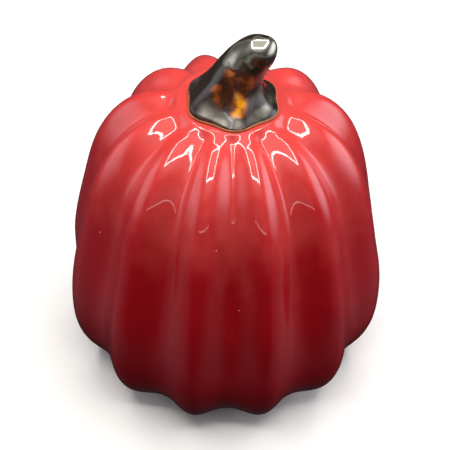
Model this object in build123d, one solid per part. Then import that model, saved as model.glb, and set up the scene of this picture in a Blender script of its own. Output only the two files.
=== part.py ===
from build123d import *
import math
import os

# Ceramic pumpkin figure: a hollow slip-cast body with twelve ribs, a stem that is formed
# apart and seated in its crown, and the bead of clay slip that lutes the two together.
# Millimetres, +Z up. The origin is on the surface it stands on, under the crown's centre,
# and the front of the figure faces -Y.

# --- Body: the line that the rib crests follow, from the crown to the foot ---------------
seat_radius = 12.4          # flat ring round the crown that the stem stands on
seat_height = 82.8
collar_radius = 17.0        # low collar that the ribs run out into
collar_height = 81.2
crown_radius = 23.0         # level top of the ribs
crown_height = 79.4
shoulder_radius = 31.8
shoulder_height = 69.9
flank_radius = 38.0
flank_height = 52.4
belly_radius = 42.5         # widest level, low on the body
belly_height = 23.7
haunch_radius = 38.9        # where the body turns under
haunch_height = 8.6
foot_radius = 27.2          # where the body meets the surface it stands on

# --- Body: ribs and valleys ----------------------------------------------------------------
front_valley_angle = -87.0                       # seen from above, from +X towards +Y
half_rib_widths = (27.0, 29.0, 32.0, 32.0, 31.0, 29.0)   # from the front valley to the back one
belly_valley_depth = 4.0
foot_valley_depth = 2.5
valley_onset = 0.12         # fraction of the crest line over which the valleys deepen by two thirds
belly_fraction = 0.5        # fraction of the crest line where the valleys are deepest
crown_sharpness = 1.5       # power of the sine that rounds a rib: 2 is a plain wave
belly_sharpness = 2.1
foot_sharpness = 2.5
foot_blend_height = 10.0    # below this level the valleys run straight in, not up
points_per_rib = 4
body_rings = 15

# --- Body: wall, foot recess and openings --------------------------------------------------
wall = 4.0
recess_radius = 18.0        # unglazed recess inside the foot ring
recess_depth = 1.2
recess_slope = 1.5          # how much narrower the recess is at its top
vent_radius = 6.0           # firing vent through the floor of the body
socket_radius = 6.0         # blind socket in the crown, filled by the tenon of the stem
socket_depth = 1.8

# --- Stem ------------------------------------------------------------------------------------
joint_thickness = 0.6       # bead of slip between the crown and the stem's foot
joint_margin = 0.4          # how far the bead stands out round the foot
stem_centre_x = 0.5
stem_bend = ((0.8, 8.9), (3.3, 12.1))    # x and z of the two middle poles of the stem's axis
stem_tip = (9.2, 15.6)                   # x and z of the tip from the centre of the foot
stem_radius = 7.6           # of the straight taper, taken down to the foot
stem_taper = 4.2            # radius lost along the whole axis
foot_flare = 3.4            # extra radius at the foot
foot_flare_length = 0.4     # fraction of the axis that the flare takes
foot_flare_power = 2.2      # how quickly the flare dies away up the stem
tip_start = 0.78            # fraction of the axis where the tip begins to round over
flute_count = 6
flute_depth = 0.05          # of the radius, at the foot
flute_fade = 1.5            # power with which the flutes die away towards the tip
flute_turn = 34.0           # angle of the first ridge from +X
stem_stations = (0.0, 0.07, 0.15, 0.25, 0.4, 0.55, 0.68, 0.78, 0.86, 0.93, 0.97, 0.992)
points_per_flute = 6


def ease(start, end, fraction):
    """Value between start and end, level at both ends."""
    x = min(max(fraction, 0.0), 1.0)
    return start + (end - start) * x * x * (3.0 - 2.0 * x)


# The crest line, drawn in the XZ plane: X is the radius.
crest_line = Spline(
    (seat_radius, 0, seat_height),
    (collar_radius, 0, collar_height),
    (crown_radius, 0, crown_height),
    (shoulder_radius, 0, shoulder_height),
    (flank_radius, 0, flank_height),
    (belly_radius, 0, belly_height),
    (haunch_radius, 0, haunch_height),
    (foot_radius, 0, 0),
)

# Valley angles and rib widths all the way round, the left side a mirror of the right.
rib_widths = half_rib_widths + half_rib_widths[::-1]
valley_angles = [front_valley_angle + sum(rib_widths[:k]) for k in range(len(rib_widths))]


def valley_depth(along):
    """Depth of the valleys at a fraction of the crest line: none at the seat, most at the belly."""
    full = ease(belly_valley_depth, foot_valley_depth, (along - belly_fraction) / (1.0 - belly_fraction))
    return full * (1.0 - math.exp(-along / valley_onset))


def sharpness(along):
    """How narrow the ribs' crests are at a fraction of the crest line."""
    if along < belly_fraction:
        return ease(crown_sharpness, belly_sharpness, along / belly_fraction)
    return ease(belly_sharpness, foot_sharpness, (along - belly_fraction) / (1.0 - belly_fraction))


def body_ring(along):
    """Closed curve round the body, over every rib and valley."""
    crest = crest_line @ along
    run = crest_line % along
    lift = run.X * min(1.0, crest.Z / foot_blend_height)
    points = []
    for valley, width in zip(valley_angles, rib_widths):
        for step in range(points_per_rib):
            across = step / points_per_rib
            dip = valley_depth(along) * (1.0 - math.sin(math.pi * across) ** sharpness(along))
            angle = math.radians(valley + across * width)
            radius = crest.X + run.Z * dip
            points.append((radius * math.cos(angle), radius * math.sin(angle), crest.Z - lift * dip))
    return Wire([Spline(points, periodic=True)])


def make_body():
    """Ribbed shell with an even wall, a foot recess, a vent and the socket of the stem."""
    rings = [body_ring(k / (body_rings - 1)) for k in range(body_rings)]
    outside = Solid.make_loft(rings)
    inside = Pos(0, 0, wall) * scale(outside, by=1.0 - 2.0 * wall / seat_height)
    recess = Cone(
        recess_radius, recess_radius - recess_slope, recess_depth,
        align=(Align.CENTER, Align.CENTER, Align.MIN),
    )
    vent = Cylinder(vent_radius, 4.0 * wall)
    socket = Pos(stem_centre_x, 0, seat_height) * Cylinder(socket_radius, 2.0 * socket_depth)
    return outside - inside - recess - vent - socket


# Axis of the stem, from the centre of its foot.
stem_base = seat_height + joint_thickness
stem_line = Bezier(
    (stem_centre_x, 0, stem_base),
    *[(stem_centre_x + x, 0, stem_base + z) for x, z in stem_bend],
    (stem_centre_x + stem_tip[0], 0, stem_base + stem_tip[1]),
)


def stem_radius_at(along):
    """Mean radius of the stem: a taper, with a flare at the foot and a round tip."""
    radius = stem_radius - stem_taper * along
    if along < foot_flare_length:
        radius += foot_flare * (1.0 - along / foot_flare_length) ** foot_flare_power
    if along > tip_start:
        past = (along - tip_start) / (1.0 - tip_start)
        radius *= math.sqrt(1.0 - past * past)
    return radius


def stem_ring(along, margin=0.0):
    """Closed fluted curve square to the axis of the stem."""
    level = Plane(stem_line @ along, x_dir=(1, 0, 0), z_dir=stem_line % along)
    if along == 0.0:
        level = Plane(stem_line @ 0, x_dir=(1, 0, 0), z_dir=(0, 0, 1))
    depth = flute_depth * (1.0 - along) ** flute_fade
    points = []
    for step in range(flute_count * points_per_flute):
        angle = 2.0 * math.pi * step / (flute_count * points_per_flute)
        ridge = math.cos(flute_count * (angle - math.radians(flute_turn)))
        radius = stem_radius_at(along) * (1.0 + depth * ridge) + margin
        points.append(level.from_local_coords((radius * math.cos(angle), radius * math.sin(angle), 0)))
    return Wire([Spline(points, periodic=True)])


def make_stem():
    """Bent, fluted stem with the short tenon that seats it in the crown."""
    shaft = Solid.make_loft([stem_ring(along) for along in stem_stations])
    down = (Align.CENTER, Align.CENTER, Align.MAX)
    tenon = Cylinder(socket_radius, socket_depth + joint_thickness, align=down)
    return shaft + Pos(stem_centre_x, 0, stem_base) * tenon


def make_stem_slip_joint():
    """Thin bead of slip under the foot of the stem, standing out a little round it."""
    outline = Pos(0, 0, -joint_thickness) * make_face(stem_ring(0.0, joint_margin).edges())
    bead = extrude(outline, amount=joint_thickness, dir=(0, 0, 1))
    return bead - Pos(stem_centre_x, 0, seat_height) * Cylinder(socket_radius, 4.0 * joint_thickness)


os.makedirs("parts", exist_ok=True)
pieces = {
    "body": make_body(),
    "stem": make_stem(),
    "stem_slip_joint": make_stem_slip_joint(),
}
for name, piece in pieces.items():
    export_step(piece, f"parts/{name}.step")
    box = piece.bounding_box()
    print(f"{name}: {piece.volume:.0f} mm3, {box.size.X:.1f} x {box.size.Y:.1f} x {box.size.Z:.1f} mm")
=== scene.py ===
import logging
import math
from dataclasses import dataclass, field
from enum import Enum
from typing import Any

import bpy
import numpy as np
from mathutils import Matrix, Vector, noise

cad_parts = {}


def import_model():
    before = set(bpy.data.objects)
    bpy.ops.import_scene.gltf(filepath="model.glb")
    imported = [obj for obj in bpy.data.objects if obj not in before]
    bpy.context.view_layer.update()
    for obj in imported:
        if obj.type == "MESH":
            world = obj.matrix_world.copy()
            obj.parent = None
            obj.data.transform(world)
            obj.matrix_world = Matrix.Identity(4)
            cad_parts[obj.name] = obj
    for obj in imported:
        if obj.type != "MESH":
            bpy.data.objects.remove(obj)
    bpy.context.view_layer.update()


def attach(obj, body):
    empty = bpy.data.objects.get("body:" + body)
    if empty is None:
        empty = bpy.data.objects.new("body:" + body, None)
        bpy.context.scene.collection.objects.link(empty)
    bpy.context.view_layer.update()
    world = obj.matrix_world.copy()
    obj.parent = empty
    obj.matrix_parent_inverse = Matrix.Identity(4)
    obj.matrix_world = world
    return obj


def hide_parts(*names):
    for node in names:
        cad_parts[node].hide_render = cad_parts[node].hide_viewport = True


# Ceramic pumpkin figure: a hollow slip-cast body with twelve ribs under a red gloss glaze, a
# bent stem under a dark lustre glaze, and the bead of bare slip that lutes the two together.
# Shapes are worked out in millimetres, as in the CAD part, and turned to metres in one place.

MM = 0.001
ROOT = "root"
log = logging.getLogger("pumpkin")


# --- Small tools ------------------------------------------------------------------------------


def linear(code: str) -> tuple[float, float, float, float]:
    """Turn an sRGB hex colour into linear light.

    Args:
        code: six hex digits, such as "B11622".

    Returns:
        Linear red, green and blue, and an alpha of 1.
    """
    parts = [int(code[k:k + 2], 16) / 255.0 for k in (0, 2, 4)]
    red, green, blue = (c / 12.92 if c <= 0.04045 else ((c + 0.055) / 1.055) ** 2.4 for c in parts)
    return red, green, blue, 1.0


def per_metre(millimetres: float) -> float:
    """Scale of a texture whose features are this many millimetres apart."""
    return 1.0 / (millimetres * MM)


def add_node(tree: Any, kind: str, settings: dict[str, Any] | None = None,
             links: dict[Any, Any] | None = None) -> Any:
    """Add a node to a material or world tree.

    Args:
        tree: the node tree.
        kind: the node's type name.
        settings: properties by name, or input values by the input's name or number.
        links: output sockets by the name or number of the input that takes them.

    Returns:
        The new node.
    """
    node = tree.nodes.new(kind)
    for key, value in (settings or {}).items():
        if isinstance(key, str) and hasattr(node, key):
            setattr(node, key, value)
        else:
            node.inputs[key].default_value = value
    for key, socket in (links or {}).items():
        tree.links.new(socket, node.inputs[key])
    return node


def set_stops(node: Any, stops: list[tuple[float, tuple[float, float, float, float]]]) -> None:
    """Give a colour ramp its stops, from left to right.

    Args:
        node: a ShaderNodeValToRGB.
        stops: position and linear colour of each stop.
    """
    ramp = node.color_ramp
    while len(ramp.elements) < len(stops):
        ramp.elements.new(0.5)
    for element, (place, colour) in zip(ramp.elements, stops):
        element.position = place
        element.color = colour


def ease(x: np.ndarray | float) -> Any:
    """Smooth step from 0 to 1, level at both ends."""
    x = np.clip(x, 0.0, 1.0)
    return x * x * (3.0 - 2.0 * x)


def mix(start: Any, end: Any, share: Any) -> Any:
    """Value between start and end."""
    return start + (end - start) * share


def smooth_curve(points: list[tuple[float, float]], shares: np.ndarray) -> tuple[np.ndarray, np.ndarray]:
    """Natural cubic spline through points, sampled at shares of its chord length.

    Args:
        points: radius and height of each point.
        shares: where to sample it, from 0 to 1.

    Returns:
        The samples and the unit tangent at each.
    """
    pts = np.array(points, float)
    knots = np.r_[0.0, np.cumsum(np.hypot(*np.diff(pts, axis=0).T))]
    gaps = np.diff(knots)
    size = len(pts)
    system, right = np.eye(size), np.zeros((size, 2))
    for k in range(1, size - 1):
        system[k, k - 1:k + 2] = gaps[k - 1], 2.0 * (gaps[k - 1] + gaps[k]), gaps[k]
        right[k] = 6.0 * ((pts[k + 1] - pts[k]) / gaps[k] - (pts[k] - pts[k - 1]) / gaps[k - 1])
    bend = np.linalg.solve(system, right)
    at = shares * knots[-1]
    span = np.clip(np.searchsorted(knots, at, side="right") - 1, 0, size - 2)
    gap, before, after = gaps[span], at - knots[span], knots[span + 1] - at
    gap, before, after = gap[:, None], before[:, None], after[:, None]
    lower, upper = pts[span] / gap - bend[span] * gap / 6.0, pts[span + 1] / gap - bend[span + 1] * gap / 6.0
    place = (bend[span] * after ** 3 + bend[span + 1] * before ** 3) / (6.0 * gap)
    place = place + lower * after + upper * before
    slope = (bend[span + 1] * before ** 2 - bend[span] * after ** 2) / (2.0 * gap) - lower + upper
    return place, slope / np.linalg.norm(slope, axis=1)[:, None]


def scatter(place: np.ndarray) -> np.ndarray:
    """Smooth uneven vector, the same at the same place on every run."""
    spots = (place, place + (31.4, 0.0, 0.0), place + (0.0, 47.1, 0.0))
    return np.array([noise.noise(Vector(spot)) for spot in spots])


def new_material(name: str) -> tuple[bpy.types.Material, Any, Any]:
    """Start a material with an empty node tree.

    Args:
        name: its name.

    Returns:
        The material, its tree, and the socket of a place on the piece in metres.
    """
    material = bpy.data.materials.new(name)
    material.use_nodes = True
    tree = material.node_tree
    tree.nodes.clear()
    return material, tree, add_node(tree, "ShaderNodeTexCoord").outputs["Object"]


def mottle(tree: Any, place: Any, size_mm: float, detail: float, roughness: float = 0.5,
           distortion: float = 0.0) -> Any:
    """Cloudy pattern over a piece.

    Args:
        tree: the node tree.
        place: socket of the place on the piece.
        size_mm: size of its clouds.
        detail: how many finer layers they have.
        roughness: how strong those are.
        distortion: how far the clouds are warped.

    Returns:
        The socket of its value.
    """
    settings = {"Scale": per_metre(size_mm), "Detail": detail, "Roughness": roughness,
                "Distortion": distortion}
    return add_node(tree, "ShaderNodeTexNoise", settings, {"Vector": place}).outputs["Fac"]


def report(piece: bpy.types.Object) -> None:
    """Log the name and size of a finished piece."""
    log.info("%s: %d faces", piece.name, len(piece.data.polygons))


def circle(radius: float, height: float, count: int, centre_x: float = 0.0) -> np.ndarray:
    """Ring of points on a level circle, in millimetres.

    Args:
        radius: radius of the circle.
        height: its level.
        count: number of points.
        centre_x: X of its centre.

    Returns:
        An array of count points.
    """
    turn = np.arange(count) * 2.0 * math.pi / count
    return np.stack([centre_x + radius * np.cos(turn), radius * np.sin(turn), np.full(count, height)], 1)


def ring_mesh(name: str, rings: list[np.ndarray], first_cap: bool, last_cap: bool,
              joined: bool = False) -> bpy.types.Object:
    """Skin a stack of rings with quads.

    Args:
        name: name of the piece.
        rings: arrays of points in millimetres, all of one length.
        first_cap: close the first ring to a point at its middle.
        last_cap: close the last ring likewise.
        joined: run from the last ring back to the first.

    Returns:
        The new object, smooth shaded, in metres.
    """
    count = len(rings[0])
    points = np.concatenate(rings) * MM
    faces: list[tuple[int, ...]] = []
    pairs = [(k, k + 1) for k in range(len(rings) - 1)]
    if joined:
        pairs.append((len(rings) - 1, 0))
    for low, high in pairs:
        for j in range(count):
            nxt = (j + 1) % count
            faces.append((low * count + j, high * count + j, high * count + nxt, low * count + nxt))
    for wanted, ring, turn in ((first_cap, 0, 1), (last_cap, len(rings) - 1, -1)):
        if wanted:
            points = np.vstack([points, rings[ring].mean(0) * MM])
            for j in range(count):
                fan = (len(points) - 1, ring * count + j, ring * count + (j + 1) % count)
                faces.append(fan[::turn])
    mesh = bpy.data.meshes.new(name)
    mesh.from_pydata(points.tolist(), [], faces)
    mesh.validate()
    mesh.polygons.foreach_set("use_smooth", [True] * len(mesh.polygons))
    mesh.update()
    piece = bpy.data.objects.new(name, mesh)
    bpy.context.scene.collection.objects.link(piece)
    return piece


def store(piece: bpy.types.Object, name: str, values: np.ndarray) -> None:
    """Keep one number per vertex on a piece, for its material to read.

    Args:
        piece: the piece.
        name: name of the attribute.
        values: the numbers. Vertices past their end, which close the ends, get 0.
    """
    layer = piece.data.attributes.new(name, "FLOAT", "POINT")
    full = np.zeros(len(piece.data.vertices))
    full[:len(values)] = values
    layer.data.foreach_set("value", full)


# --- Finishes ---------------------------------------------------------------------------------


@dataclass(frozen=True)
class RedGlossGlaze:
    """Transparent red gloss glaze, dipped over pale earthenware and fired to a glassy coat."""

    # To the eye: sharp window-like reflections over a deep red. The coat is thin and coral at the
    # crown and runs down thick and dark to the foot, with painted shade added: darker below the crown
    # where light from above falls off, and darker on the crests than in the valleys. It has faint
    # clouds, vertical streaks, a slight orange-peel ripple, and a few pale pinholes where gas broke through.

    name: str = "red_gloss_glaze"
    thin: str = "BA3B37"
    middle: str = "9D1119"
    thick: str = "880C14"
    pinhole: str = "C98A80"
    ior: float = 1.52               # fired glass
    roughness: float = 0.045
    # Thickness of the coat from 0 to 1, and what adds to it, with painted shade by rib and by height
    # included.
    coat: float = 0.54
    painted_shade_on_rib: float = 0.08
    coat_and_shade_lost_high: float = -0.68
    coat_in_clouds: float = 0.42
    coat_in_streaks: float = 0.22
    cloud_mm: float = 9.0
    streak_mm: float = 3.5
    streak_length: float = 6.0      # how much longer than wide a streak is
    pinhole_mm: float = 9.0         # mean distance between pinholes
    pinhole_radius: float = 0.035   # of that distance
    pinhole_depth_mm: float = 0.12
    peel_mm: float = 2.6            # orange-peel ripple of the fired surface
    peel_depth_mm: float = 0.012

    def make(self) -> bpy.types.Material:
        """Build the material.

        Returns:
            The material. It reads the attributes rib and level of its piece.
        """
        material, tree, place = new_material(self.name)
        rib = add_node(tree, "ShaderNodeAttribute", {"attribute_name": "rib"}).outputs["Fac"]
        level = add_node(tree, "ShaderNodeAttribute", {"attribute_name": "level"}).outputs["Fac"]
        clouds = mottle(tree, place, self.cloud_mm, 4.0, 0.55)
        drawn = add_node(tree, "ShaderNodeMapping", {"Scale": (1.0, 1.0, 1.0 / self.streak_length)},
                         {"Vector": place}).outputs["Vector"]
        streaks = mottle(tree, drawn, self.streak_mm, 3.0)
        # Painted shade: the crests darker and the valleys lighter, following how light falls across the
        # ribs.
        shaded_rib = add_node(tree, "ShaderNodeMath", {"operation": "MULTIPLY_ADD", 1: self.painted_shade_on_rib,
                                                   2: self.coat}, {0: rib}).outputs[0]
        height = add_node(tree, "ShaderNodeMath", {"operation": "POWER", 1: 2.0}, {0: level}).outputs[0]
        # Glaze thinner at the crown and thicker lower down, plus painted shade that darkens the body below
        # the crown where light from above falls off.
        run_down_and_shade = add_node(tree, "ShaderNodeMath", {"operation": "MULTIPLY_ADD", 1: self.coat_and_shade_lost_high},
                            {0: height, 2: shaded_rib}).outputs[0]
        cloudy = add_node(tree, "ShaderNodeMath", {"operation": "MULTIPLY_ADD", 1: self.coat_in_clouds},
                          {0: clouds, 2: run_down_and_shade}).outputs[0]
        coat = add_node(tree, "ShaderNodeMath", {"operation": "MULTIPLY_ADD", 1: self.coat_in_streaks},
                        {0: streaks, 2: cloudy}).outputs[0]
        # The ramp turns coat and painted shade into colour: lighter where thin or lit, darker where thick or
        # shaded.
        tint = add_node(tree, "ShaderNodeValToRGB", links={"Fac": coat})
        set_stops(tint, [(0.25, linear(self.thin)), (0.62, linear(self.middle)), (1.0, linear(self.thick))])
        holes = add_node(tree, "ShaderNodeTexVoronoi", {"Scale": per_metre(self.pinhole_mm)},
                         {"Vector": place}).outputs["Distance"]
        hole = add_node(tree, "ShaderNodeMapRange", {"From Min": self.pinhole_radius * 0.5,
                                                     "From Max": self.pinhole_radius, "To Min": 1.0,
                                                     "To Max": 0.0}, {"Value": holes}).outputs[0]
        colour = add_node(tree, "ShaderNodeMixRGB", {"Color2": linear(self.pinhole)},
                          {"Fac": hole, "Color1": tint.outputs["Color"]}).outputs["Color"]
        peel = mottle(tree, place, self.peel_mm, 2.0, 0.4)
        ripple = add_node(tree, "ShaderNodeBump", {"Strength": 1.0, "Distance": self.peel_depth_mm * MM},
                          {"Height": peel}).outputs["Normal"]
        pits = add_node(tree, "ShaderNodeBump", {"Strength": 1.0, "invert": True,
                                                 "Distance": self.pinhole_depth_mm * MM},
                        {"Height": hole, "Normal": ripple}).outputs["Normal"]
        shader = add_node(tree, "ShaderNodeBsdfPrincipled", {"Roughness": self.roughness, "IOR": self.ior},
                          {"Base Color": colour, "Normal": pits})
        add_node(tree, "ShaderNodeOutputMaterial", links={"Surface": shader.outputs["BSDF"]})
        return material


@dataclass(frozen=True)
class BrownLustreGlaze:
    """Iron and manganese glaze, brushed thick on the stem and fired to a metallic lustre."""

    # To the eye: black glass where it lies thick, a pewter shine like hammered metal where the
    # lustre came up, satin at the edges of that shine, and amber and red-brown patches like
    # tortoiseshell where it broke thin over the ridges.

    name: str = "brown_lustre_glaze"
    pewter: str = "9A988A"
    bronze: str = "4A4234"
    black: str = "1E150D"
    umber: str = "3C1E0E"
    russet: str = "743610"
    ochre: str = "9C6220"
    amber: str = "C8840C"
    metallic: float = 0.9
    # Roughness by the strength of the lustre.
    roughness: tuple[tuple[float, float], ...] = (
        (0.10, 0.12), (0.35, 0.34), (0.58, 0.34), (0.80, 0.14))
    patch_mm: float = 1.8
    patch_ragged: float = 0.5       # how far the patches' edges wander
    glass_window: tuple[float, float] = (0.08, 0.30)   # thinness at which lustre gives way to glass
    lustre_mm: float = 5.0
    lustre_ragged: float = 0.8
    film_window: tuple[float, float] = (0.30, 0.80)    # strength over which the lustre fills in
    dimple_mm: float = 3.0
    dimple_depth_mm: float = 0.035

    def make(self) -> bpy.types.Material:
        """Build the material.

        Returns:
            The material. It reads the attributes thin and lustre of its piece.
        """
        material, tree, place = new_material(self.name)
        thin = add_node(tree, "ShaderNodeAttribute", {"attribute_name": "thin"}).outputs["Fac"]
        patches = mottle(tree, place, self.patch_mm, 5.0, 0.62, 0.6)
        broken = add_node(tree, "ShaderNodeMath", {"operation": "MULTIPLY_ADD", 1: self.patch_ragged,
                                                   2: -0.5 * self.patch_ragged}, {0: patches}).outputs[0]
        wear = add_node(tree, "ShaderNodeMath", {"operation": "ADD"}, {0: thin, 1: broken}).outputs[0]
        warm = add_node(tree, "ShaderNodeValToRGB", links={"Fac": wear})
        set_stops(warm, [(0.22, linear(self.black)), (0.38, linear(self.umber)), (0.52, linear(self.russet)),
                         (0.68, linear(self.ochre)), (0.84, linear(self.amber))])
        reduced = add_node(tree, "ShaderNodeAttribute", {"attribute_name": "lustre"}).outputs["Fac"]
        sheen = mottle(tree, place, self.lustre_mm, 4.0)
        cloudy = add_node(tree, "ShaderNodeMath", {"operation": "MULTIPLY_ADD", 1: self.lustre_ragged,
                                                   2: -0.5 * self.lustre_ragged}, {0: sheen}).outputs[0]
        shine = add_node(tree, "ShaderNodeMath", {"operation": "ADD"}, {0: reduced, 1: cloudy}).outputs[0]
        metal = add_node(tree, "ShaderNodeValToRGB", links={"Fac": shine})
        set_stops(metal, [(0.30, linear(self.bronze)), (0.85, linear(self.pewter))])
        covered = add_node(tree, "ShaderNodeMapRange", {"From Min": self.glass_window[0],
                                                        "From Max": self.glass_window[1],
                                                        "To Min": 1.0, "To Max": 0.0},
                           {"Value": wear}).outputs[0]
        film = add_node(tree, "ShaderNodeMapRange", {"From Min": self.film_window[0],
                                                     "From Max": self.film_window[1],
                                                     "To Min": 0.0, "To Max": self.metallic},
                        {"Value": shine}).outputs[0]
        lustre = add_node(tree, "ShaderNodeMath", {"operation": "MULTIPLY"},
                          {0: covered, 1: film}).outputs[0]
        colour = add_node(tree, "ShaderNodeMixRGB", {},
                          {"Fac": lustre, "Color1": warm.outputs["Color"],
                           "Color2": metal.outputs["Color"]}).outputs["Color"]
        dimples = mottle(tree, place, self.dimple_mm, 2.0)
        lumpy = add_node(tree, "ShaderNodeBump", {"Strength": 1.0, "Distance": self.dimple_depth_mm * MM},
                         {"Height": dimples}).outputs["Normal"]
        satin = add_node(tree, "ShaderNodeValToRGB", links={"Fac": shine})
        set_stops(satin, [(at, (rough, rough, rough, 1.0)) for at, rough in self.roughness])
        shader = add_node(tree, "ShaderNodeBsdfPrincipled", {},
                          {"Base Color": colour, "Metallic": lustre, "Roughness": satin.outputs["Color"],
                           "Normal": lumpy})
        add_node(tree, "ShaderNodeOutputMaterial", links={"Surface": shader.outputs["BSDF"]})
        return material


@dataclass(frozen=True)
class BareClay:
    """Earthenware slip, cast or trailed, sponged and fired without glaze."""

    # To the eye: dry and matt, with a fine grit and soft cloudy changes of tone.
    name: str
    light: str
    dark: str
    grit_mm: float = 0.5
    cloud_mm: float = 5.0
    ior: float = 1.5
    roughness: float = 0.85
    grit_depth_mm: float = 0.05

    def make(self) -> bpy.types.Material:
        """Build the material.

        Returns:
            The material.
        """
        material, tree, place = new_material(self.name)
        clouds = mottle(tree, place, self.cloud_mm, 6.0, 0.7)
        colour = add_node(tree, "ShaderNodeValToRGB", links={"Fac": clouds})
        set_stops(colour, [(0.35, linear(self.dark)), (0.65, linear(self.light))])
        grit = mottle(tree, place, self.grit_mm, 4.0, 0.7)
        rough = add_node(tree, "ShaderNodeBump", {"Strength": 1.0, "Distance": self.grit_depth_mm * MM},
                         {"Height": grit}).outputs["Normal"]
        shader = add_node(tree, "ShaderNodeBsdfPrincipled", {"Roughness": self.roughness, "IOR": self.ior},
                          {"Base Color": colour.outputs["Color"], "Normal": rough})
        add_node(tree, "ShaderNodeOutputMaterial", links={"Surface": shader.outputs["BSDF"]})
        return material


@dataclass(frozen=True)
class TableLaminate:
    """Pale melamine laminate, pressed with a matt plate, of the table top."""

    # To the eye: an even off-white without gloss, barely clouded.
    name: str = "pale_laminate"
    pale: str = "E9E7E4"
    shade: str = "E2E0DD"
    roughness: float = 0.6
    cloud_mm: float = 60.0

    def make(self) -> bpy.types.Material:
        """Build the material.

        Returns:
            The material.
        """
        material, tree, place = new_material(self.name)
        clouds = mottle(tree, place, self.cloud_mm, 3.0)
        colour = add_node(tree, "ShaderNodeValToRGB", links={"Fac": clouds})
        set_stops(colour, [(0.3, linear(self.shade)), (0.7, linear(self.pale))])
        shader = add_node(tree, "ShaderNodeBsdfPrincipled", {"Roughness": self.roughness},
                          {"Base Color": colour.outputs["Color"]})
        add_node(tree, "ShaderNodeOutputMaterial", links={"Surface": shader.outputs["BSDF"]})
        return material


# --- The pumpkin ------------------------------------------------------------------------------


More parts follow.
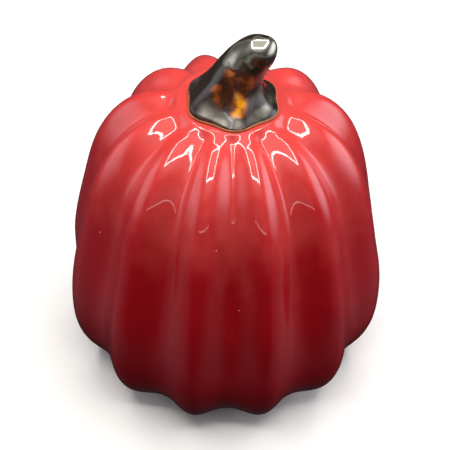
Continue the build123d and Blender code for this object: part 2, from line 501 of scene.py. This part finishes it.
@dataclass
class RibbedBody:
    """Slip-cast hollow body with twelve ribs, a foot recess and a firing vent, in millimetres."""

    crest_points: list[tuple[float, float]] = field(default_factory=lambda: [
        (12.5, 82.8), (13.5, 82.3), (14.8, 81.75), (16.6, 81.45), (19.2, 80.85), (23.0, 79.2),
        (31.8, 69.9), (38.0, 52.4), (42.5, 23.7), (38.9, 8.6), (27.2, 0.0)])
    front_valley_angle: float = -87.0
    half_rib_widths: tuple[float, ...] = (27.0, 29.0, 32.0, 32.0, 31.0, 29.0)
    belly_depth: float = 4.0
    foot_depth: float = 2.5
    collar_run: float = 0.004       # share of the crest line that the smooth collar takes
    onset_run: float = 0.12         # how fast the valleys deepen below the collar
    early_share: float = 0.17       # part of the depth that is there at once below the collar
    early_run: float = 0.025
    sharpness: tuple[float, float, float] = (1.5, 2.1, 2.5)   # of the rib's section, crown to foot
    seat_run: float = 0.12          # share of the crest line over which the valleys begin
    belly_run: float = 0.5          # share of it at which the valleys are deepest
    foot_blend_height: float = 10.0
    wall: float = 4.0
    seat_height: float = 82.8
    seat_edge: float = 0.12         # how narrow the turn from the seat to the collar is
    glaze_edge: float = 0.972       # share of the crest line at which the glaze stops
    glaze_lip: float = 0.008        # share over which the glaze thins out there
    glaze_coat: float = 0.25
    recess_radius: float = 18.0
    recess_depth: float = 1.2
    recess_slope: float = 1.5
    recess_middle: float = 11.0
    vent_radius: float = 6.0
    edge_round: float = 0.5         # softened edges of the recess and the vent
    edge_bevel: float = 0.12
    vent_bevel: float = 0.15
    floor_middle: float = 14.0      # ring of the floor inside the hollow
    dome_radius: float = 4.0        # last ring of the hollow, under the crown
    foot_shares: tuple[float, ...] = (0.35, 0.7)
    inner_step: int = 6             # one row of the hollow for this many outside
    socket_radius: float = 6.0
    socket_depth: float = 1.8
    socket_x: float = 0.5
    wobble: float = 0.22            # hand-finished unevenness
    wobble_mm: float = 13.0
    wobble_fade: float = 0.1        # share of the crest line over which it dies away at each end
    wobble_way: tuple[float, float, float] = (1.0, 1.0, 0.5)   # more sideways than up
    steps_per_rib: int = 28
    rows: int = 200
    crowding: float = 1.35          # above 1, rows lie closer together near the crown

    def angles(self) -> tuple[np.ndarray, np.ndarray]:
        """Turn of every column of points, and how high on its rib it stands.

        Returns:
            Angles in radians, and the fraction across the rib from one valley to the next.
        """
        widths = self.half_rib_widths + self.half_rib_widths[::-1]
        turn, across = [], []
        start = self.front_valley_angle
        for width in widths:
            for step in range(self.steps_per_rib):
                across.append(step / self.steps_per_rib)
                turn.append(math.radians(start + across[-1] * width))
            start += width
        return np.array(turn), np.array(across)

    def rib_power(self, along: np.ndarray) -> np.ndarray:
        """Power of the sine that rounds a rib: 2 is a plain wave, and more is a narrower crest.

        Args:
            along: shares of the crest line.

        Returns:
            The power at each share.
        """
        crown, belly, foot = self.sharpness
        upper = mix(crown, belly, ease((along - self.seat_run) / (self.belly_run - self.seat_run)))
        lower = mix(belly, foot, ease((along - self.belly_run) / (1.0 - self.belly_run)))
        return np.where(along < self.belly_run, upper, lower)

    def valley_depth(self, along: np.ndarray) -> np.ndarray:
        """Depth of the valleys: they start at once below the collar, then deepen slowly.

        Args:
            along: shares of the crest line.

        Returns:
            The depth at each share.
        """
        below = ease((along - self.belly_run) / (1.0 - self.belly_run))
        depth = mix(self.belly_depth, self.foot_depth, below)
        past = np.maximum(0.0, along - self.collar_run)
        left = mix(np.exp(-past / self.onset_run), np.exp(-past / self.early_run), self.early_share)
        return depth * (1.0 - left)

    def outside(self) -> tuple[np.ndarray, np.ndarray, np.ndarray]:
        """Outer surface from the seat ring to the foot.

        Returns:
            Points by row and column, the rib height of each, and the share along the crest line.
        """
        along = np.linspace(0.0, 1.0, self.rows) ** self.crowding
        crest, run = smooth_curve(self.crest_points, along)
        turn, across = self.angles()
        depth = self.valley_depth(along)
        high = np.sin(math.pi * across)[None, :] ** self.rib_power(along)[:, None]
        coat = self.glaze_coat * ease((along - self.glaze_edge) / self.glaze_lip)
        dip = depth[:, None] * (1.0 - high) + coat[:, None]
        lift = run[:, 0] * np.minimum(1.0, crest[:, 1] / self.foot_blend_height)
        radius = crest[:, 0][:, None] + run[:, 1][:, None] * dip
        height = crest[:, 1][:, None] - lift[:, None] * dip
        points = np.stack([radius * np.cos(turn), radius * np.sin(turn), height], -1)
        return points, high, along

    def roughen(self, points: np.ndarray, along: np.ndarray) -> np.ndarray:
        """Push the outer surface in and out a little, as fettling by hand leaves it.

        Args:
            points: the smooth surface by row and column.
            along: share along the crest line of each row.

        Returns:
            The uneven surface.
        """
        middle = np.array([0.0, 0.0, self.seat_height / 2.0])
        fade = ease(along / self.wobble_fade) * ease((1.0 - along) / self.wobble_fade)
        uneven = points.copy()
        for row in range(len(points)):
            for column in range(len(points[row])):
                spot = points[row, column]
                shift = noise.noise(Vector(spot / self.wobble_mm)) * self.wobble * fade[row]
                away = (spot - middle) * self.wobble_way
                inset = shift - 0.5 * self.wobble * fade[row]
                uneven[row, column] = spot + away / np.linalg.norm(away) * inset
        return uneven

    def build(self) -> bpy.types.Object:
        """Build the closed shell: socket, outside, foot, vent and inside.

        Returns:
            The piece, with its material slots numbered 0 for glaze and 1 for bare clay.
        """
        outer, high, along = self.outside()
        outer = self.roughen(outer, along)
        count = outer.shape[1]
        turn, _ = self.angles()

        def level(radius: float, height: float, centre_x: float = 0.0) -> np.ndarray:
            """Level circle with the same columns as the ribs."""
            return np.stack([centre_x + radius * np.cos(turn), radius * np.sin(turn),
                             np.full(count, height)], 1)

        rings = [level(self.socket_radius * 0.5, self.seat_height - self.socket_depth, self.socket_x),
                 level(self.socket_radius, self.seat_height - self.socket_depth, self.socket_x),
                 level(self.socket_radius, self.seat_height, self.socket_x),
                 level(0.5 * (self.socket_radius + self.crest_points[0][0]), self.seat_height),
                 level(self.crest_points[0][0] - self.seat_edge, self.seat_height)]
        before = len(rings)
        rings += list(outer)
        after = len(rings)
        foot = outer[-1]
        for share in self.foot_shares:
            rings.append(mix(foot, level(self.recess_radius + self.edge_round, 0.0), share))
        top, edge = self.recess_depth, self.edge_round
        slope_top = self.recess_radius - self.recess_slope
        vent, bevel = self.vent_radius, self.edge_bevel
        for radius, height in ((self.recess_radius + edge, 0.0), (self.recess_radius, bevel),
                               (slope_top, top - bevel), (slope_top - edge, top), (self.recess_middle, top),
                               (vent + edge, top), (vent + self.vent_bevel, top + self.vent_bevel),
                               (vent, top + edge), (vent, self.wall - edge), (vent + edge, self.wall),
                               (self.floor_middle, self.wall)):
            rings.append(level(radius, height))
        shrink = 1.0 - 2.0 * self.wall / self.seat_height
        inside = outer[::-self.inner_step] * shrink + (0.0, 0.0, self.wall)
        inside[:, :, 2] = np.maximum(inside[:, :, 2], self.wall)
        rings += list(inside)
        rings.append(level(self.dome_radius, self.seat_height - self.wall))
        piece = ring_mesh("pumpkin_body", rings, first_cap=True, last_cap=True)
        ribs = np.full((len(rings), count), 0.5)
        ribs[before:after] = high
        levels = np.repeat([ring[:, 2].mean() / self.seat_height for ring in rings], count)
        store(piece, "rib", ribs.ravel())
        store(piece, "level", levels)
        last_glazed = before + int(self.glaze_edge ** (1.0 / self.crowding) * (self.rows - 1))
        slots = np.array([0 if k <= last_glazed else 1 for k in range(len(rings) - 1)])
        per_face = np.concatenate([np.repeat(slots, count), np.ones(2 * count, int)])
        piece.data.polygons.foreach_set("material_index", per_face.astype(np.int32))
        return piece

    def dress(self, piece: bpy.types.Object, glaze: bpy.types.Material, clay: bpy.types.Material) -> None:
        """Give the outside its glaze and the rest bare clay, and put the piece on the frame.

        Args:
            piece: the body.
            glaze: for the outside down to the edge of the glaze.
            clay: for the foot, the vent and the hollow.
        """
        slots = np.zeros(len(piece.data.polygons), np.int32)
        piece.data.polygons.foreach_get("material_index", slots)
        piece.data.materials.append(glaze)
        piece.data.materials.append(clay)
        piece.data.polygons.foreach_set("material_index", slots)
        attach(piece, ROOT)
        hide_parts("body")


@dataclass(frozen=True)
class Patch:
    """Patch in the stem's glaze: its middle and reach in millimetres, and how strong it is."""

    place: tuple[float, float, float]
    reach: float
    amount: float


@dataclass
class BentStem:
    """Fluted stem with a flared foot and a blunt tip, leaning to +X, in millimetres."""

    base_x: float = 0.5
    base_height: float = 83.4
    joint: float = 0.6
    bend: tuple[tuple[float, float], ...] = ((0.8, 8.9), (3.3, 12.1), (9.2, 15.6))
    radius: float = 7.6
    taper: float = 4.2
    flare: float = 3.1
    foot_forward: float = 0.9       # how far the foot is pressed out towards the front
    foot_forward_run: float = 0.35
    flare_run: float = 0.4
    flare_power: float = 2.2        # how quickly the flare dies away up the stem
    tip_start: float = 0.78
    flutes: int = 6
    flute_depth: float = 0.05       # of the radius, at the foot
    flute_fade: float = 1.5
    flute_turn: float = 34.0
    socket_radius: float = 6.0
    socket_depth: float = 1.8
    wobble: float = 0.3
    wobble_mm: float = 5.0
    wobble_inward: float = 0.4      # share by which it goes in more than out
    wobble_fade: tuple[float, float] = (0.15, 0.1)   # dies away at the foot and at the tip
    columns: int = 192
    rows: int = 140
    last_row: float = 0.9995        # share of the axis at which the tip is closed
    crowding: float = 1.25          # above 1, rows lie closer together near the tip
    patch_drift: float = 1.4
    patch_drift_mm: float = 2.4
    thin_patches: tuple[Patch, ...] = (
        Patch((2.6, -7.9, 87.8), 2.6, 0.92), Patch((1.8, -8.8, 86.2), 1.8, 0.84),
        Patch((-0.9, -4.5, 93.6), 1.8, 0.72), Patch((-4.2, -5.2, 89.6), 2.0, 0.54),
        Patch((-3.4, -6.4, 88.0), 1.8, 0.50), Patch((1.4, -6.0, 91.0), 5.6, 0.42),
        Patch((4.6, -5.2, 91.6), 3.0, 0.50), Patch((-2.6, -7.6, 86.8), 2.2, 0.44),
        Patch((6.4, -4.0, 96.2), 2.2, 0.40), Patch((1.0, 6.5, 91.0), 3.6, 0.82),
        Patch((4.5, 5.0, 94.0), 3.6, 0.55), Patch((-5.5, 5.0, 88.0), 2.6, 0.60),
        Patch((8.5, 3.0, 88.0), 2.6, 0.55))
    lustre_patches: tuple[Patch, ...] = (
        Patch((0.2, -3.0, 96.4), 3.2, 0.95), Patch((1.6, -2.2, 98.2), 3.0, 1.00),
        Patch((4.2, -3.4, 98.4), 3.2, 1.00), Patch((6.5, -2.1, 99.9), 3.0, 1.10),
        Patch((8.8, -1.6, 99.0), 2.6, 1.00), Patch((-5.4, -8.2, 84.8), 3.2, 0.57),
        Patch((-2.4, -9.8, 84.3), 2.6, 0.57), Patch((2.4, -10.4, 84.2), 2.2, 0.55),
        Patch((5.4, -8.8, 84.2), 2.8, 0.55), Patch((8.0, -6.4, 84.4), 3.0, 0.70),
        Patch((6.6, -3.4, 87.2), 2.6, 0.45), Patch((10.0, -1.0, 84.2), 2.6, 0.45),
        Patch((2.0, 10.0, 84.4), 3.4, 0.75), Patch((-5.0, 8.0, 84.8), 3.0, 0.70),
        Patch((3.5, 3.6, 98.0), 2.8, 0.60), Patch((-8.0, 3.0, 85.0), 2.6, 0.55))

    def axis(self, along: float) -> tuple[np.ndarray, np.ndarray]:
        """Find a place on the stem's axis, a Bezier curve in the XZ plane.

        Args:
            along: share of its length.

        Returns:
            The point and the unit tangent there, as X and Z from the centre of the foot.
        """
        a, b, c, d = [np.array([0.0, 0.0])] + [np.array(p) for p in self.bend]
        grid = np.linspace(0.0, 1.0, 81)[:, None]
        line = ((1 - grid) ** 3 * a + 3 * (1 - grid) ** 2 * grid * b
                + 3 * (1 - grid) * grid ** 2 * c + grid ** 3 * d)
        length = np.r_[0.0, np.cumsum(np.linalg.norm(np.diff(line, axis=0), axis=1))]
        s = float(np.interp(along * length[-1], length, grid[:, 0]))
        place = (1 - s) ** 3 * a + 3 * (1 - s) ** 2 * s * b + 3 * (1 - s) * s * s * c + s ** 3 * d
        slope = 3 * (1 - s) ** 2 * (b - a) + 6 * (1 - s) * s * (c - b) + 3 * s * s * (d - c)
        return place, slope / np.linalg.norm(slope)

    def section(self, along: float, margin: float = 0.0) -> np.ndarray:
        """Fluted ring square to the axis.

        Args:
            along: share of the axis, 0 at the foot.
            margin: extra radius in millimetres.

        Returns:
            Points of the ring.
        """
        place, slope = self.axis(along)
        if along == 0.0:
            slope = np.array([0.0, 1.0])
        size = self.radius - self.taper * along
        if along < self.flare_run:
            size += self.flare * (1.0 - along / self.flare_run) ** self.flare_power
        if along > self.tip_start:
            past = (along - self.tip_start) / (1.0 - self.tip_start)
            size *= math.sqrt(max(0.0, 1.0 - past * past))
        turn = np.arange(self.columns) * 2.0 * math.pi / self.columns
        ridge = np.cos(self.flutes * (turn - math.radians(self.flute_turn)))
        size = size * (1.0 + self.flute_depth * (1.0 - along) ** self.flute_fade * ridge) + margin
        side = size * np.cos(turn)
        forward = self.foot_forward * max(0.0, 1.0 - along / self.foot_forward_run) ** 2
        return np.stack([self.base_x + place[0] + side * slope[1], size * np.sin(turn) - forward,
                         self.base_height + place[1] - side * slope[0]], 1)

    def build(self) -> bpy.types.Object:
        """Build the stem with its tenon.

        Returns:
            The piece, with the attributes that its glaze reads.
        """
        shares = 1.0 - (1.0 - np.linspace(0.0, self.last_row, self.rows)) ** self.crowding
        rings = [self.section(float(s)) for s in shares]
        for ring, share in zip(rings, shares):
            foot_fade, tip_fade = self.wobble_fade
            fade = float(ease(share / foot_fade)) * float(ease((1.0 - share) / tip_fade))
            middle = ring.mean(0)
            for k, spot in enumerate(ring):
                away = spot - middle
                shift = noise.noise(Vector(spot / self.wobble_mm)) - self.wobble_inward
                shift = shift * self.wobble * fade
                ring[k] = spot + away / max(np.linalg.norm(away), 0.01) * shift
        count = self.columns
        under = self.base_height - self.joint - self.socket_depth
        tenon = [circle(self.socket_radius * 0.5, under, count, self.base_x),
                 circle(self.socket_radius, under, count, self.base_x),
                 circle(self.socket_radius, self.base_height, count, self.base_x)]
        piece = ring_mesh("stem", tenon + rings, first_cap=True, last_cap=True)
        piece.data.flip_normals()
        spots = np.concatenate(tenon + rings)
        store(piece, "thin", self.patched(spots, self.thin_patches))
        store(piece, "lustre", self.patched(spots, self.lustre_patches))
        return piece

    def patched(self, spots: np.ndarray, patches: tuple[Patch, ...]) -> np.ndarray:
        """Strength of a set of ragged patches at each point.

        Args:
            spots: points in millimetres.
            patches: the patches to lay.

        Returns:
            One number per point, from 0 outside the patches to 1 in the middle of the strongest.
        """
        strength = np.zeros(len(spots))
        ragged = np.array([spot + self.patch_drift * scatter(spot / self.patch_drift_mm) for spot in spots])
        for patch in patches:
            away = np.linalg.norm(ragged - np.array(patch.place), axis=1)
            strength = np.maximum(strength, patch.amount * np.exp(-(away / patch.reach) ** 3))
        return strength

    def dress(self, piece: bpy.types.Object, glaze: bpy.types.Material) -> None:
        """Glaze the stem and put it on the frame.

        Args:
            piece: the stem.
            glaze: its glaze.
        """
        piece.data.materials.append(glaze)
        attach(piece, ROOT)
        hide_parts("stem")


@dataclass
class SlipJoint:
    """Bead of bare slip round the foot of the stem, in millimetres."""

    stem: BentStem
    margin: float = 0.25            # how far it stands out round the foot
    edge_round: float = 0.3
    clearance: float = 0.001        # under the foot of the stem
    steps: int = 10

    def build(self) -> bpy.types.Object:
        """Build the bead as a ring with a rounded outer edge.

        Returns:
            The piece.
        """
        stem, count = self.stem, self.stem.columns
        floor = stem.base_height - stem.joint
        middle = floor + stem.joint / 2.0
        hole = [circle(stem.socket_radius, height, count, stem.base_x)
                for height in (stem.base_height - self.clearance, middle, floor)]
        outline = []
        for step in range(self.steps + 1):
            swing = -math.pi / 2.0 + math.pi * step / self.steps
            ring = stem.section(0.0, self.margin - self.edge_round + self.edge_round * math.cos(swing))
            gap = self.clearance if step == self.steps else 0.0
            ring[:, 2] = middle + stem.joint / 2.0 * math.sin(swing) - gap
            outline.append(ring)
        return ring_mesh("stem_slip_bead", hole + outline, first_cap=False, last_cap=False, joined=True)

    def dress(self, piece: bpy.types.Object, slip: bpy.types.Material) -> None:
        """Leave the bead bare and put it on the frame.

        Args:
            piece: the bead.
            slip: the fired slip.
        """
        piece.data.materials.append(slip)
        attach(piece, ROOT)
        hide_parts("stem_slip_joint")


# --- Studio -----------------------------------------------------------------------------------


class Shape(Enum):
    """Outline of an area light."""

    PANEL = "RECTANGLE"
    LED = "DISK"


@dataclass
class LightTent:
    """Light tent: white ceiling, square loop of LEDs, soft walls and a front flap, in millimetres."""

    white: str = "FFFFFF"
    led_white: str = "FFFDF8"
    wall_white: str = "F2F3FF"
    room_white: str = "EDEBF6"
    # The ceiling, and the square loop of LEDs that hangs under it.
    ceiling: float = 340.0
    ceiling_gap: float = 12.0
    ceiling_size: tuple[float, float] = (560.0, 620.0)
    ceiling_y: float = -40.0
    ceiling_fade: float = 0.62
    ceiling_radiance: float = 1.4
    loop_half: float = 130.0
    loop_y: float = 5.0
    leds_per_side: int = 10
    led_size: float = 26.0
    led_radiance: float = 26.5
    # The cloth walls to the left and the right.
    wall_size: tuple[float, float] = (480.0, 300.0)
    wall_x: float = 260.0
    wall_height: float = 152.0
    wall_fade: float = 0.58
    left_y: float = 10.0
    left_radiance: float = 1.7
    right_y: float = 40.0
    right_radiance: float = 3.6
    # The flap over the opening in front, with its lit hem.
    flap_size: tuple[float, float] = (460.0, 150.0)
    flap_y: float = -430.0
    flap_height: float = 245.0
    flap_radiance: float = 0.25
    hem_size: tuple[float, float] = (460.0, 9.0)
    hem_y: float = -429.0
    hem_height: float = 166.0
    hem_radiance: float = 4.0
    # How the face of a cloth panel dims: its bright core, as a share of its width, and its edge.
    glow_core: float = 0.08
    glow_edge: float = 0.04
    # Brightness of the room by Y and by Z of the direction looked in.
    room_round: tuple[tuple[float, float], ...] = (
        (-1.0, 0.01), (-0.85, 0.01), (-0.45, 0.15), (0.12, 0.20), (0.5, 0.08), (1.0, 0.06))
    room_strip: tuple[tuple[float, float], ...] = ((-0.34, 0.0), (-0.18, 0.12), (0.0, 0.12), (0.2, 0.0))
    room_under: tuple[tuple[float, float], ...] = ((-0.86, 0.2), (-0.6, 1.0))

    def lamp(self, name: str, shape: Shape, size: tuple[float, float], place: tuple[float, float, float],
             aim: tuple[float, float, float], radiance: float, colour: str, fade: float = 0.0) -> None:
        """Place one area light.

        Args:
            name: name of the light.
            shape: its outline.
            size: width and height.
            place: its centre.
            aim: the point that it faces.
            radiance: brightness of its face.
            colour: sRGB hex.
            fade: how far from its middle the face has dimmed away, as a share of its width, or 0.
        """
        data = bpy.data.lights.new(name, "AREA")
        data.shape = shape.value
        data.size = size[0] * MM
        if shape is Shape.PANEL:
            data.size_y = size[1] * MM
        area = size[0] * size[1] * MM * MM * (1.0 if shape is Shape.PANEL else math.pi / 4.0)
        data.energy = radiance * math.pi * area
        data.color = linear(colour)[:3]
        if fade:
            self.soften(data, fade)
        lamp = bpy.data.objects.new(name, data)
        lamp.location = Vector(place) * MM
        lamp.rotation_euler = (Vector(aim) - Vector(place)).to_track_quat("-Z", "Y").to_euler()
        bpy.context.scene.collection.objects.link(lamp)

    def soften(self, data: bpy.types.Light, reach: float) -> None:
        """Dim the face of a light from its middle outwards, as cloth lit from behind does.

        Args:
            data: the light.
            reach: distance from its middle where it has dimmed away, as a share of its width.
        """
        data.use_nodes = True
        tree = data.node_tree
        tree.nodes.clear()
        spot = add_node(tree, "ShaderNodeNewGeometry").outputs["Parametric"]
        middle = add_node(tree, "ShaderNodeVectorMath", {"operation": "DISTANCE", 1: (0.5, 0.5, 0.0)},
                          {0: spot}).outputs["Value"]
        glow = add_node(tree, "ShaderNodeMapRange", {"interpolation_type": "SMOOTHERSTEP",
                                                     "From Min": self.glow_core, "From Max": reach,
                                                     "To Min": 1.0, "To Max": self.glow_edge},
                        {"Value": middle}).outputs[0]
        face = add_node(tree, "ShaderNodeEmission", links={"Strength": glow})
        add_node(tree, "ShaderNodeOutputLight", links={"Surface": face.outputs["Emission"]})

    def by_direction(self, tree: Any, part: Any, stops: tuple[tuple[float, float], ...]) -> Any:
        """Brightness of the room by one part of the direction that is looked in.

        Args:
            tree: the world's node tree.
            part: socket of that part, from -1 to 1.
            stops: value of the part and the brightness there.

        Returns:
            The socket of the brightness.
        """
        place = add_node(tree, "ShaderNodeMapRange", {"From Min": -1.0, "From Max": 1.0}, {"Value": part})
        ramp = add_node(tree, "ShaderNodeValToRGB", links={"Fac": place.outputs[0]})
        set_stops(ramp, [((at + 1.0) / 2.0, (glow, glow, glow, 1.0)) for at, glow in stops])
        ramp.color_ramp.interpolation = "EASE"
        return ramp.outputs["Color"]

    def build(self) -> None:
        """Hang the ceiling, the LED loop, the walls and the front flap, and make the room."""
        half, high = self.loop_half, self.ceiling
        self.lamp("ceiling", Shape.PANEL, self.ceiling_size, (0.0, self.ceiling_y, high + self.ceiling_gap),
                  (0.0, self.ceiling_y, 0.0), self.ceiling_radiance, self.white, fade=self.ceiling_fade)
        corners = [(-half, -half), (half, -half), (half, half), (-half, half)]
        for side in range(4):
            a, b = Vector(corners[side]), Vector(corners[(side + 1) % 4])
            for k in range(self.leds_per_side):
                spot = a.lerp(b, (k + 0.5) / self.leds_per_side)
                place = (spot.x, spot.y + self.loop_y, high)
                self.lamp(f"led_{side}_{k:02d}", Shape.LED, (self.led_size, self.led_size), place,
                          (place[0], place[1], 0.0), self.led_radiance, self.led_white)
        for name, x, y, radiance in (("left_wall", -self.wall_x, self.left_y, self.left_radiance),
                                     ("right_wall", self.wall_x, self.right_y, self.right_radiance)):
            self.lamp(name, Shape.PANEL, self.wall_size, (x, y, self.wall_height),
                      (0.0, y, self.wall_height), radiance, self.wall_white, fade=self.wall_fade)
        self.lamp("front_flap", Shape.PANEL, self.flap_size, (0.0, self.flap_y, self.flap_height),
                  (0.0, 0.0, self.flap_height), self.flap_radiance, self.white)
        self.lamp("front_hem", Shape.PANEL, self.hem_size, (0.0, self.hem_y, self.hem_height),
                  (0.0, 0.0, self.hem_height), self.hem_radiance, self.white)
        self.room()

    def room(self) -> None:
        """Make the room: dark in front of the figure, light beside it and dim behind it."""
        world = bpy.data.worlds.new("dim_room")
        world.use_nodes = True
        tree = world.node_tree
        tree.nodes.clear()
        # A pale strip low down in front is where the table runs out into the room.
        way = add_node(tree, "ShaderNodeTexCoord").outputs["Generated"]
        parts = add_node(tree, "ShaderNodeSeparateXYZ", links={"Vector": way})
        beside = self.by_direction(tree, parts.outputs["Y"], self.room_round)
        strip = self.by_direction(tree, parts.outputs["Z"], self.room_strip)
        under = self.by_direction(tree, parts.outputs["Z"], self.room_under)
        either = add_node(tree, "ShaderNodeMath", {"operation": "MAXIMUM"}, {0: beside, 1: strip}).outputs[0]
        glow = add_node(tree, "ShaderNodeMath", {"operation": "MULTIPLY"}, {0: either, 1: under}).outputs[0]
        room = add_node(tree, "ShaderNodeBackground", {"Color": linear(self.room_white)}, {"Strength": glow})
        add_node(tree, "ShaderNodeOutputWorld", links={"Surface": room.outputs["Background"]})
        bpy.context.scene.world = world


@dataclass
class Table:
    """Pale table top, in millimetres."""

    half: float = 2500.0
    drop: float = 0.05              # keeps its face clear of the foot ring's

    def build(self) -> None:
        """Lay the table top, hidden from glossy and diffuse rays."""
        mesh = bpy.data.meshes.new("table_top")
        edge = self.half * MM
        level = -self.drop * MM
        mesh.from_pydata([(-edge, -edge, level), (edge, -edge, level), (edge, edge, level),
                          (-edge, edge, level)], [], [(0, 1, 2, 3)])
        top = bpy.data.objects.new("table_top", mesh)
        bpy.context.scene.collection.objects.link(top)
        mesh.materials.append(TableLaminate().make())
        top.visible_glossy = False
        top.visible_diffuse = False


@dataclass
class StudioCamera:
    """Camera above the front of the figure, looking down at it, in millimetres and degrees."""

    target: tuple[float, float, float] = (-0.3, 0.0, 40.5)
    distance: float = 273.6
    elevation: float = 45.5
    roll: float = 1.98
    lens: float = 83.0
    sensor: float = 36.0

    def build(self) -> None:
        """Place the camera and make it the scene's own."""
        data = bpy.data.cameras.new("camera")
        data.lens, data.sensor_width, data.clip_start = self.lens, self.sensor, 0.01
        camera = bpy.data.objects.new("camera", data)
        rise = math.radians(self.elevation)
        aim = Vector(self.target) * MM
        camera.location = aim + self.distance * MM * Vector((0.0, -math.cos(rise), math.sin(rise)))
        look = (aim - camera.location).to_track_quat("-Z", "Y").to_matrix()
        camera.rotation_euler = (look @ Matrix.Rotation(math.radians(self.roll), 3, "Z")).to_euler()
        bpy.context.scene.collection.objects.link(camera)
        bpy.context.scene.camera = camera


def main() -> None:
    """Build the figure on its frame, then the studio round it."""
    logging.basicConfig(level=logging.INFO, format="%(name)s: %(message)s")
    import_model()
    scene = bpy.context.scene
    scene.view_settings.view_transform = "Standard"

    StudioCamera().build()
    clay = BareClay("bare_earthenware", "D9C3A6", "C4A988").make()
    body = RibbedBody()
    shell = body.build()
    body.dress(shell, RedGlossGlaze().make(), clay)
    report(shell)

    stem = BentStem()
    shaft = stem.build()
    stem.dress(shaft, BrownLustreGlaze().make())
    report(shaft)

    joint = SlipJoint(stem)
    bead = joint.build()
    joint.dress(bead, BareClay("bare_slip", "A8643C", "7E4628").make())
    report(bead)

    Table().build()
    LightTent().build()
    log.info("studio: %d lights", len(bpy.data.lights))


if __name__ == "__main__":
    main()
